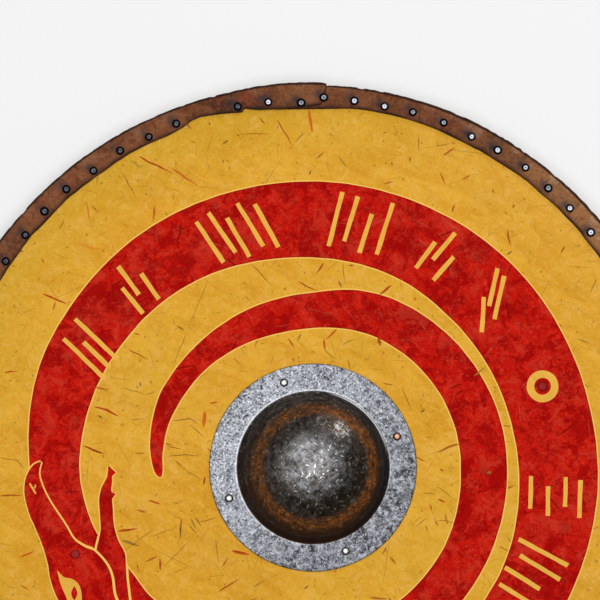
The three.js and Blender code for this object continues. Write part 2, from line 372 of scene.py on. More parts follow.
def bossMetal():
    look = bossFinish
    finish = Finish("boss_iron")
    centred = finish.mapped((1, 1, 0), shift=(-bossMiddle.x, -bossMiddle.y, 0))
    radius = finish.length(centred)
    acrossX, acrossY, _ = finish.split(centred)
    low = (acrossX - acrossY) / (140 * mm)  # -1 at the upper left and 1 at the lower right; the painted shade and light on the boss lean along it
    cloud = finish.noise(26, 5, 0.70, warp=0.7)
    speckle = finish.noise(200, 5, 0.82)
    fleck = finish.noise(520, 2, 0.6)
    darkCut, _ = strokes(finish, 125, 0.46, 0.100, 6.3, 0.62, 3.3)
    paleCut, _ = strokes(finish, 150, 0.46, 0.095, 6.3, 0.55, 6.1)
    # painted shade: the flange's tone, flecks and dark patches go darker towards the lower right, as if
    # shaded by the dome
    tone = speckle * 0.80 + cloud * 0.55 - low * 0.022
    flange = finish.ramp(tone - 0.1, (0.44, look["black"]), (0.52, look["grey"]), (0.64, look["pale"]))
    flange = finish.wash(flange, look["white"], fleck - low * 0.02, 0.58, 0.68, 0.62)
    flange = finish.wash(flange, look["black"], fleck + low * 0.01, 0.43, 0.35, 0.85)
    darkPatch = finish.step(finish.noise(150, 4, 0.75, warp=0.3), 0.50, 0.59)
    palePatch = finish.step(finish.noise(185, 4, 0.75, warp=0.3), 0.50, 0.59)
    flange = finish.mix(flange, look["black"], darkPatch * (0.34 + low * 0.60))
    flange = finish.mix(flange, look["white"], palePatch * (0.22 + low * 0.34))
    pit = finish.step(finish.noise(120, 3, 0.7), 0.62, 0.69)
    flange = finish.mix(flange, look["black"], pit * 0.8)
    flange = finish.mix(flange, look["black"], darkCut * (0.72 + low * 0.15))
    flange = finish.mix(flange, look["white"], paleCut * (0.66 + low * 0.10))
    # painted shade: a broad wash darkens the flange towards the lower right, as if shaded by the dome
    flange = finish.wash(flange, look["black"], low + (cloud - 0.5) * 2, -0.8, 1.4, 0.45)
    # painted highlight: a bright ring round the foot of the dome, strongest at the upper left
    wearAndShine = (radius - 75.8 * mm) / (1.4 * mm)
    bright = finish.step(1 - wearAndShine * wearAndShine + (speckle - 0.5) * 2 - low * 0.5, 0.3, 1.2)
    flange = finish.mix(flange, look["white"], bright * 0.42)
    edgeOffset = (radius - 74.0 * mm) / (0.9 * mm)
    glint = finish.step((acrossX + acrossY) / radius, 1.15, 1.38)
    glint = glint * finish.step(1 - edgeOffset * edgeOffset, 0, 0.6)
    patches = finish.noise(48, 6, 0.76, warp=0.6)
    # streaks that run round the dome
    way = finish.vector("MULTIPLY", finish.vector("NORMALIZE", centred, (0, 0, 0)), (9, 9, 0))
    level = finish.node("ShaderNodeCombineXYZ", {}, {"Z": radius * 420})
    streak = finish.noise(1, 5, 0.75, place=finish.vector("ADD", way, level), warp=0.4)
    firstBeat = finish.noise(1, 3, 0.75, place=finish.mapped((560, 170, 200), turn=0.6))
    secondBeat = finish.noise(1, 3, 0.75, place=finish.mapped((580, 160, 200), turn=-0.75))
    scratch = firstBeat * 0.5 + secondBeat * 0.5
    # painted light and shade: the dome goes lighter towards the top and left, darker towards the bottom and
    # right
    tone = patches * 0.55 + scratch * 0.65 - acrossX * 1.0 + acrossY * 1.3
    dome = finish.ramp(tone, (0.50, look["soot"]), (0.59, look["dull"]), (0.70, look["steel"]))
    warm = finish.step(radius + (patches - 0.5) * (36 * mm), 22 * mm, 50 * mm)
    dome = finish.mix(dome, look["bronze"], warm * 0.72)
    mottle = finish.noise(115, 5, 0.75, warp=0.5)
    dome = finish.wash(dome, look["soot"], mottle, 0.51, 0.58, 0.50)
    dome = finish.wash(dome, look["silver"], mottle, 0.46, 0.38, 0.10 + warm * 0.06)
    dome = finish.wash(dome, look["soot"], speckle, 0.50, 0.60, 0.45)
    dome = finish.mix(dome, look["soot"], darkCut * 0.70)
    dome = finish.mix(dome, finish.mix(look["silver"], look["straw"], warm), paleCut * 0.68)
    dome = finish.wash(dome, look["silver"], speckle, 0.43, 0.36, 0.14 + warm * 0.16)
    # painted highlight: a bright patch on the dome's upper right, broken up like rubbed metal
    highlightX, highlightY = (acrossX - 26 * mm) / (10 * mm), (acrossY - 37 * mm) / (12 * mm)
    rubbedAndShine = finish.step(1 - highlightX * highlightX - highlightY * highlightY + (scratch - 0.5) * 3, 0.15, 0.9)
    broken = finish.step(mottle * 0.4 + scratch * 0.6, 0.51, 0.56)
    dome = finish.mix(dome, look["silver"], rubbedAndShine * broken * 0.55)
    # a rust ring round the dome that is also a painted reflection of the yellow board, stronger towards the
    # lower right
    ringOffset = (radius - look["ringRadius"] - (patches - 0.5) * (10 * mm)) / (6.6 * mm)
    ring = finish.step(1 - ringOffset * ringOffset + (scratch + streak - 1) * 1.6 + low * 0.25, -0.10, 1.1)
    rust = finish.ramp(scratch * 0.35 + streak * 0.65,
                       (0.42, look["soot"]), (0.50, look["umber"]), (0.60, look["rust"]))
    dome = finish.mix(dome, rust, ring * 0.92)
    dome = finish.mix(dome, look["gold"], ring * paleCut * (0.55 + low * 0.3))
    # painted shade: the steep wall below the ring is painted near black, browner towards the lower left,
    # broken by brown gleams
    wall = finish.step(radius + (patches - 0.5) * (9 * mm),
                       look["ringRadius"] + 3 * mm, look["ringRadius"] + 9 * mm)
    gleam = streak * 0.7 + scratch * 0.3 + (cloud - 0.5) * 0.5 - acrossX * 0.2 + acrossY * 0.8
    gleam = finish.step(gleam, 0.50, 0.62)
    shade = finish.mix(look["wallShadeBlack"], look["wallShadeBrown"], finish.step(acrossX * -0.5 - acrossY, -30 * mm, 60 * mm))
    dome = finish.mix(dome, shade, wall * (0.98 - gleam * 0.62))
    dome = finish.mix(dome, look["silver"], glint * 0.9)
    onFlange = finish.step(radius, look["domeRadius"] - 0.5 * mm, look["domeRadius"] + 0.4 * mm)
    colour = finish.mix(dome, flange, onFlange)
    sheen = 0.24 + patches * 0.15 + ring * 0.15 + onFlange * 0.20 + wall * (1 - onFlange) * 0.25
    relief = (fleck * 0.5 + speckle * 0.5) * onFlange + scratch * (1 - onFlange) + patches * 0.5
    crust = ring.maths("MAXIMUM", ring * 0.35, wall * 0.6) * (1 - onFlange)
    return finish.surface({
        "Base Color": colour, "Roughness": sheen, "Metallic": 0.95 - crust, "Specular IOR Level": 0.1,
        "Normal": finish.bump(relief, 0.6 * mm, 0.8)})


def nailMetal(name, bright, dark, metallic=0.9, roughness=0.42, gloss=0.2, shadedLeft=0.0):
    finish = Finish(name)
    crown = finish.attribute("crown")
    grime = finish.noise(600, 3, 0.6)
    fromLeft, _, _ = finish.split(finish.place)
    # each head's crown is painted bright: partly rubbed metal, partly painted highlight
    amount = finish.step(crown + (grime - 0.5) * 0.6, 0.30, 0.80)
    amount = amount * (1 - finish.step(fromLeft, -0.06, -0.18) * shadedLeft)  # painted shade: darker towards the left
    return finish.surface({
        "Base Color": finish.mix(dark, bright, amount), "Metallic": metallic,
        "Roughness": roughness - amount * 0.08 + grime * 0.1, "Specular IOR Level": gloss,
        "Normal": finish.bump(grime, 0.2 * mm, 0.6)})


finishes = {
    "yellow": yellowPaint("yellow_paint"),
    "stroke": yellowPaint("stroke_paint", 0.35, 0.30),
    "halo": yellowPaint("outline_paint", 0.2, 0.85),
    "nick": nickedPaint(),
    "red": redPaint(),
    "board": bareWood("board_wood", (0.46, 0.30, 0.16), (0.30, 0.175, 0.085)),
    "grip": bareWood("grip_wood", (0.33, 0.19, 0.10), (0.17, 0.09, 0.045), gripAngle),
    "leather": leather(),
    "boss": bossMetal(),
    "rimNail": nailMetal("rim_nail_iron", (0.33, 0.35, 0.41), (0.007, 0.008, 0.012), shadedLeft=0.40),
    "rivet": nailMetal("rivet_iron", (0.44, 0.43, 0.42), (0.03, 0.027, 0.024)),
    "copperRivet": nailMetal("copper_rivet", (0.40, 0.20, 0.14), (0.035, 0.020, 0.014)),
    "paintedNail": nailMetal("painted_nail", (0.27, 0.0060, 0.0050), (0.13, 0.0020, 0.0018), 0.0, 0.5, 0.12),
}
print("finishes made")


def link(name, data):  # a new object at the origin
    made = bpy.data.objects.new(name, data)
    bpy.context.scene.collection.objects.link(made)
    return made


def meshOf(name, bm):
    mesh = bpy.data.meshes.new(name)
    bm.to_mesh(mesh)
    bm.free()
    return mesh


def weld(bm, distance=0.01 * mm):  # joins doubles and turns every face outwards
    bmesh.ops.remove_doubles(bm, verts=bm.verts, dist=distance)
    bmesh.ops.recalc_face_normals(bm, faces=bm.faces)


def addPiece(name, bm, looks, standsFor=(), crisp=180):
    mesh = meshOf(name, bm)
    for look in looks:
        mesh.materials.append(finishes[look])
    mesh.polygons.foreach_set("use_smooth", [True] * len(mesh.polygons))
    if crisp < 180:
        mesh.set_sharp_from_angle(angle=math.radians(crisp))
    piece = link(name, mesh)
    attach(piece, "root")
    if standsFor:
        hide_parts(*standsFor)
    return piece


def spun(bm, points, steps, angle=math.tau, closed=True):
    verts = [bm.verts.new((radius, 0, height)) for radius, height in points]
    pairs = list(zip(verts, verts[1:]))
    if closed:
        pairs.append((verts[-1], verts[0]))
    edges = [bm.edges.new(pair) for pair in pairs]
    full = abs(abs(angle) - math.tau) < 1e-6
    bmesh.ops.spin(bm, geom=verts + edges, cent=(0, 0, 0), axis=(0, 0, 1), dvec=(0, 0, 0),
                   angle=angle, steps=steps, use_merge=full)


def spread(first, last, parts):  # evenly spaced values, both ends included
    return [first + (last - first) * i / parts for i in range(parts + 1)]


def rough(x, y, perMetre, seed):
    return noise.noise(Vector((x * perMetre, y * perMetre, seed)))


def faceHeight(x, y):  # the painted face is never quite flat
    return boardTop - 0.25 * mm + rough(x, y, 9, 3.1) * 0.22 * mm + rough(x, y, 34, 7.7) * 0.06 * mm


# Board: painted face and edge, bare wood behind and inside the hand hole
board = {"holeRadius": 62 * mm, "rings": 90, "backRings": 24, "spokes": 560, "chamfer": 1.5 * mm}


def makeBoard():
    bm = bmesh.new()
    inner, outer, edge = board["holeRadius"], boardRadius, board["chamfer"]
    front = [(r, boardTop) for r in spread(inner + edge, outer - edge, board["rings"])]
    back = [(r, boardLow.z) for r in spread(outer - edge, inner + edge, board["backRings"])]
    wall = [(outer, boardTop - edge), (outer, boardLow.z + edge)]
    hole = [(inner, boardLow.z + edge), (inner, boardTop - edge)]
    spun(bm, front + wall + back + hole, board["spokes"])
    for vert in bm.verts:
        radius = math.hypot(vert.co.x, vert.co.y)
        share = (outer - radius) / (outer - inner)
        isFront = vert.co.z > boardTop - 1e-6
        vert.co.x += bossMiddle.x * share
        vert.co.y += bossMiddle.y * share
        if isFront:
            vert.co.z = faceHeight(vert.co.x, vert.co.y)
    bmesh.ops.recalc_face_normals(bm, faces=bm.faces)
    for face in bm.faces:
        middle = face.calc_center_median()
        outside = math.hypot(middle.x, middle.y) > outer - 3 * mm
        face.material_index = 0 if face.normal.z > 0.3 or outside else 1
    addPiece("board", bm, ["yellow", "board"], ["shield_board"])


makeBoard()
print("board made")


def polar(degrees, radius):
    angle = math.radians(degrees)
    return Vector((math.cos(angle), math.sin(angle))) * radius


def curveAt(a, b, c, d, t):  # from b to c as t goes from 0 to 1, led by their neighbours a and d
    return 0.5 * (2 * b + (c - a) * t + (2 * a - 5 * b + 4 * c - d) * t * t
                  + (3 * b - a - 3 * c + d) * t * t * t)


def smoothCurve(points, spacing):  # a smooth run through tuples of numbers, in even steps
    ends = [points[0], *points, points[-1]]
    made = []
    for i in range(1, len(ends) - 2):
        a, b, c, d = [Vector(p) for p in ends[i - 1:i + 3]]
        steps = max(1, round((polar(c[0], c[1]) - polar(b[0], b[1])).length / spacing))
        made += [curveAt(a, b, c, d, k / steps) for k in range(steps)]
    made.append(Vector(ends[-1]))
    return made


def addStrip(bm, ribs, rise, columns, border=1.3 * mm):
    # ribs are pairs of flat points, one on each side of a painted band
    edgeLayer = bm.verts.layers.float.get("edge") or bm.verts.layers.float.new("edge")
    rows = len(ribs) - 1
    grid = bmesh.ops.create_grid(bm, x_segments=rows, y_segments=columns, size=1)["verts"]
    for vert in grid:
        left, right = ribs[round((vert.co.x + 1) / 2 * rows)]
        column = round((vert.co.y + 1) / 2 * columns)
        width = max((left - right).length, 1e-6)
        margin = min(border / width, 1 / columns)
        share = column / columns
        if column in (1, columns - 1):
            share = margin if column == 1 else 1 - margin
        place = left.lerp(right, share)
        vert[edgeLayer] = 1.0 if column in (0, columns) else 0.0
        vert.co = (place.x, place.y, faceHeight(place.x, place.y) + rise)
    return grid


def closeBelow(bm, depth):  # gives a painted layer its sides and underside
    bmesh.ops.remove_doubles(bm, verts=bm.verts, dist=0.02 * mm)
    made = bmesh.ops.extrude_face_region(bm, geom=bm.faces[:], use_keep_orig=True)
    fresh = [item for item in made["geom"] if isinstance(item, bmesh.types.BMVert)]
    bmesh.ops.translate(bm, verts=fresh, vec=(0, 0, -depth))
    bmesh.ops.recalc_face_normals(bm, faces=bm.faces)


def unsteady(point, seed, amount=0.35 * mm):  # a brush never follows a line exactly
    return point + Vector((rough(point.x, point.y, 70, seed), rough(point.x, point.y, 70, seed + 5))) * amount


def ribsFrom(stations, spacing=2.8 * mm, widen=None, over=None):
    # stations hold angle and radius on the outer side, then angle and radius on the inner side
    ribs = []
    for a, r, b, s in smoothCurve([(a, r * mm, b, s * mm) for a, r, b, s in stations], spacing):
        ribs.append((unsteady(polar(a, r), 1.7), unsteady(polar(b, s), 4.2)))
    if not widen:
        return ribs
    made = []
    for i in range(len(ribs)):
        nearby = ribs[max(0, i - 2):i + 3]
        reach = widen[0] + (widen[1] - widen[0]) * i / (len(ribs) - 1)
        moved = []
        for side in (0, 1):
            way = (nearby[-1][side] - nearby[0][side]).normalized()
            out = Vector((-way.y, way.x))
            away = ribs[i][side] - ribs[i][1 - side]
            if out.dot(away) < 0 or (away.length < 1e-6 and side):
                out = -out
            share = min(1.0, 2.5 * cover(over, [rib[side] for rib in nearby]))
            moved.append(ribs[i][side] + out * reach * share)
        made.append(tuple(moved))
    return made


def cover(tree, points):  # share of these points that lie over a painted layer
    if not tree:
        return 1.0
    found = [tree.ray_cast(Vector((p.x, p.y, 1)), Vector((0, 0, -1)))[0] for p in points]
    return sum(1.0 for place in found if place) / len(found)


# Serpent: two turns clockwise, from the tail's tip round to the head that lies over its own body
tail = [(184.3, 147.3, 184.3, 145.6), (183.7, 149.3, 183.8, 144.4), (182.3, 151.2, 182.5, 143.9),
        (180, 153.2, 180, 143.4), (175, 156.2, 175, 144.0),
        (165, 159.5, 165, 143.8), (155, 162, 155, 141.8), (145, 161.5, 145, 140), (130, 161.8, 130, 137.2),
        (115, 164, 115, 134.6), (100, 167, 100, 133.6), (88, 170.5, 88, 135.6), (75, 178.6, 75, 139.2),
        (65, 183, 65, 142), (50, 186.6, 50, 144.2), (30, 190.6, 30, 147), (15, 193.3, 15, 148.7),
        (-5, 195.3, -5, 149.7), (-25, 197.6, -25, 153.6), (-60, 203, -60, 160), (-90, 210.5, -90, 169),
        (-110, 219, -110, 179.5), (-125, 233, -125, 190), (-139, 249, -139, 200.2),
        (-150.5, 262, -150.5, 203.2), (-162.4, 270, -162.4, 217.9), (-177, 272.4, -177, 224.7)]
body = [(-187, 276.4, -187, 224.2), (-200, 281.4, -200, 222.2), (-215, 280.9, -215, 218.4),
        (-235, 280.9, -235, 213.9), (-255, 279.3, -255, 207.6), (-270, 279.4, -270, 204.8),
        (-295, 280.2, -295, 204.1), (-315, 281.7, -315, 201.4), (-345, 282.2, -345, 203.2),
        (-365, 285, -365, 207.6), (-385, 285.8, -385, 214.2), (-410, 289, -410, 219),
        (-440, 290, -440, 224), (-470, 288, -470, 227.5)]
neck = [(-470, 288, -470, 227.5), (-490, 284, -487, 229.5), (-506, 278.8, -500, 229.6),
        (-511.7, 278.3, -505.6, 229.8), (-516.5, 275.9, -510.7, 221.8), (-519.6, 272.6, -514.1, 220.6),
        (-524, 272.2, -518.3, 226), (-527.5, 274.5, -519.8, 232.2), (-530, 277.2, -522.7, 241.2),
        (-534, 279.7, -526.5, 245.6), (-536.7, 278.5, -531.5, 254.5), (-538.6, 275, -535.4, 261.6),
        (-540.2, 269.6, -538.4, 264.4), (-540.9, 263, -540.8, 262.2)]
ear = [
    (180.4, 196.6, 179.9, 196), (182.2, 197.3, 181, 192.8), (183.2, 198, 182, 189.2),
    (184.7, 201.5, 183, 193.2), (186.2, 204.6, 184.6, 193.4), (188.2, 207.2, 187.4, 195.2),
    (188.9, 207.9, 188.2, 191.2), (189.8, 208.6, 189.4, 195.4), (193.8, 210.6, 193, 197.2),
    (197, 213.2, 197.6, 200), (199.4, 218, 201, 200.6), (202, 224, 205.2, 199.6), (206, 226, 209, 205),
    (211, 229, 213.4, 213), (216, 231, 218, 222), (221, 233, 223, 231),
]
layer = {"first": 0.12 * mm, "step": 0.09 * mm, "depth": 0.4 * mm,
         "bodyLine": (1.2 * mm, 1.2 * mm), "earLine": (1.6 * mm, 2.6 * mm), "headLine": (4.4 * mm, 1.3 * mm)}


def makeSerpent():
    rise, step = layer["first"], layer["step"]
    whole = tail + body[:-1] + neck[:2]
    pieces = [
        ("neck_outline", "halo", neck, rise - 0.04 * mm, 8, layer["bodyLine"], False),
        ("tuft_outline", "halo", ear, rise - 0.04 * mm, 6, layer["bodyLine"], False),
        ("body_outline", "halo", whole, rise, 8, layer["bodyLine"], False),
        ("serpent_body", "red", whole, rise + step, 26, None, False),
        ("ear_outline", "halo", ear, rise + 2 * step, 6, layer["earLine"], True),
        ("serpent_ear", "red", ear, rise + 3 * step, 8, None, False),
        ("head_outline", "halo", neck, rise + 4 * step, 20, layer["headLine"], True),
        ("serpent_head", "red", neck, rise + 5 * step, 22, None, False),
    ]
    band = None
    for name, look, stations, height, columns, widen, onlyOver in pieces:
        bm = bmesh.new()
        addStrip(bm, ribsFrom(stations, widen=widen, over=band if onlyOver else None), height, columns)
        if name == "serpent_body":
            band = BVHTree.FromBMesh(bm)
        closeBelow(bm, layer["depth"] + height)
        addPiece(name, bm, [look], crisp=40)
    bm = bmesh.new()  # thickens the outline where head, ear and body meet
    brushed([(-229, -73.2), (-224, -76.4), (-218.6, -79.4), (-212, -81.6)], 3.8, rise + 4.5 * step, bm)
    closeBelow(bm, layer["depth"])
    addPiece("outline_join", bm, ["halo"], crisp=40)
    return band


def brushed(points, width, rise, bm, closed=False):
    # a brush stroke along a row of flat points, with square ends
    line = [Vector(p) * mm for p in points]
    ribs = []
    for i, point in enumerate(line):
        before = line[i - 1] if i > 0 or closed else point
        after = line[(i + 1) % len(line)] if i + 1 < len(line) or closed else point
        way = (after - before).normalized()
        side = Vector((-way.y, way.x)) * (width * mm / 2)
        ribs.append((point + side, point - side))
    if closed:
        ribs.append(ribs[0])
    fine = []
    for (a, b), (c, d) in zip(ribs, ribs[1:]):
        steps = max(1, round((c - a).length / (2.2 * mm)))
        fine += [(a.lerp(c, k / steps), b.lerp(d, k / steps)) for k in range(steps)]
    fine.append(ribs[-1])
    fine = [(unsteady(a, 2.3, 0.5 * mm), unsteady(b, 6.1, 0.5 * mm)) for a, b in fine]
    addStrip(bm, fine, rise, 4, 0.6 * mm)


# Rows of plain strokes along the body. Each stroke is an across and an out from the middle of its group.
leaning = [((-19, -27), (-3, 28)), ((-7, -26), (3, 9)), ((4, -28), (19, 27))]
wide = [((-36, 20), (-22, -26)), ((-22, 25), (-8, -20)), ((-6, 15), (4, -28)), ((8, 26), (20, -22)),
        ((24, 20), (34, -27))]
tall = [((-26, -28), (-24, 27)), ((-12, -20), (-8, 26)), ((5, -28), (9, 12)), ((22, -26), (27, 27))]
slant = [((-18, 27), (4, -4)), ((-8, 27), (17, -9)), ((-6, -2), (18, -27))]
short = [((-12, -24), (-9, 8)), ((-2, -8), (3, 26)), ((9, -25), (14, 5))]
flat = [((-19, 24), (18, 27)), ((-20, 9), (9, 12)), ((-9, -7), (20, -4)), ((-17, -25), (15, -22))]
groups = [(152, leaning), (134.4, short), (107, wide), (78, tall), (58.5, short), (42.5, slant),
          (-7, flat), (-26, tall), (-45, leaning), (-63, flat), (-82, wide), (-100, short), (-117, slant)]
strokeRow = {"radius": 243, "sway": 2, "width": 4.3}
ring = {"angle": 18.8, "middle": 12, "width": 7.4}


def makeStrokes():
    bm = bmesh.new()
    rise = layer["first"] + 2 * layer["step"]
    for i, (degrees, group) in enumerate(groups):
        out = polar(degrees, 1)
        across = Vector((out.y, -out.x))
        middle = out * (strokeRow["radius"] + strokeRow["sway"] * math.sin(i * 2.1))
        for first, last in group:
            ends = [middle + across * a + out * b for a, b in (first, last)]
            brushed(ends, strokeRow["width"], rise, bm)
    centre = polar(ring["angle"], strokeRow["radius"])
    brushed([centre + polar(a * 10, ring["middle"]) for a in range(36)], ring["width"], rise, bm, True)
    closeBelow(bm, layer["depth"])
    addPiece("band_strokes", bm, ["stroke"], crisp=40)


def smoothRibs(ribs, parts=5):  # more ribs between these, so that both their ends run along smooth curves
    fine = []
    padded = [ribs[0], *ribs, ribs[-1]]
    for i in range(1, len(padded) - 2):
        for k in range(parts):
            sides = [[rib[side] for rib in padded[i - 1:i + 3]] for side in (0, 1)]
            fine.append(tuple(curveAt(*side, k / parts) for side in sides))
    fine.append(ribs[-1])
    return fine


def makeEye():
    top = layer["first"] + 6 * layer["step"]
    bm = bmesh.new()
    # upper lid and lower lid, meeting in the two corners
    upper = [(-246.5, -101.5), (-240, -108.5), (-232, -110.5), (-225.5, -115.5), (-222.6, -125),
             (-222.8, -137), (-226.5, -152)]
    lower = [(-246.5, -101.5), (-244.6, -110), (-241.5, -119), (-238, -127), (-234.5, -136),
             (-231, -144), (-226.5, -152)]
    ribs = [(Vector(a) * mm, Vector(b) * mm) for a, b in zip(upper, lower)]
    addStrip(bm, smoothRibs(ribs), top, 8, 0.8 * mm)
    brushed([(-273.6, -17), (-270.6, -22), (-267.4, -27.4)], 1.5, top, bm)
    brushed([(-267.6, -18.6), (-268.2, -21.4), (-270.2, -22.6)], 1.3, top, bm)
    closeBelow(bm, layer["depth"])
    addPiece("eye_paint", bm, ["stroke"], crisp=40)
    bm = bmesh.new()
    pupil = [(Vector((-229.6 - 2.9 * math.sin(t * math.pi), -117.4 - 14 * t)) * mm,
              Vector((-229.6 + 2.9 * math.sin(t * math.pi), -117.4 - 14 * t)) * mm) for t in spread(0, 1, 12)]
    addStrip(bm, pupil, top + layer["step"], 6, 0.6 * mm)
    closeBelow(bm, layer["depth"])
    addPiece("pupil_paint", bm, ["red"], crisp=40)


def addNick(bm, path, width, tone, rise):
    toneLayer = bm.verts.layers.float.get("tone") or bm.verts.layers.float.new("tone")
    line = [Vector(p) * mm for p in path]
    total = sum((b - a).length for a, b in zip(line, line[1:]))
    fine = []
    for a, b in zip(line, line[1:]):
        steps = max(2, round((b - a).length / (3 * mm)))
        fine += [a.lerp(b, k / steps) for k in range(steps)]
    fine.append(line[-1])
    ribs = []
    for i, point in enumerate(fine):
        way = (fine[min(i + 1, len(fine) - 1)] - fine[max(i - 1, 0)]).normalized()
        side = Vector((-way.y, way.x))
        share = i / (len(fine) - 1)
        half = width * mm / 2 * (0.12 + 0.88 * math.sin(math.pi * share ** 0.8) ** 0.8)
        half *= 1 + 0.35 * rough(point.x, point.y, 400, tone * 9)
        point = point + side * rough(point.x, point.y, 120, 3.3) * min(0.9 * mm, total * 0.05)
        ribs.append((point + side * half, point - side * half))
    for vert in addStrip(bm, ribs, rise, 2, width * 0.25 * mm):
        vert[toneLayer] = tone


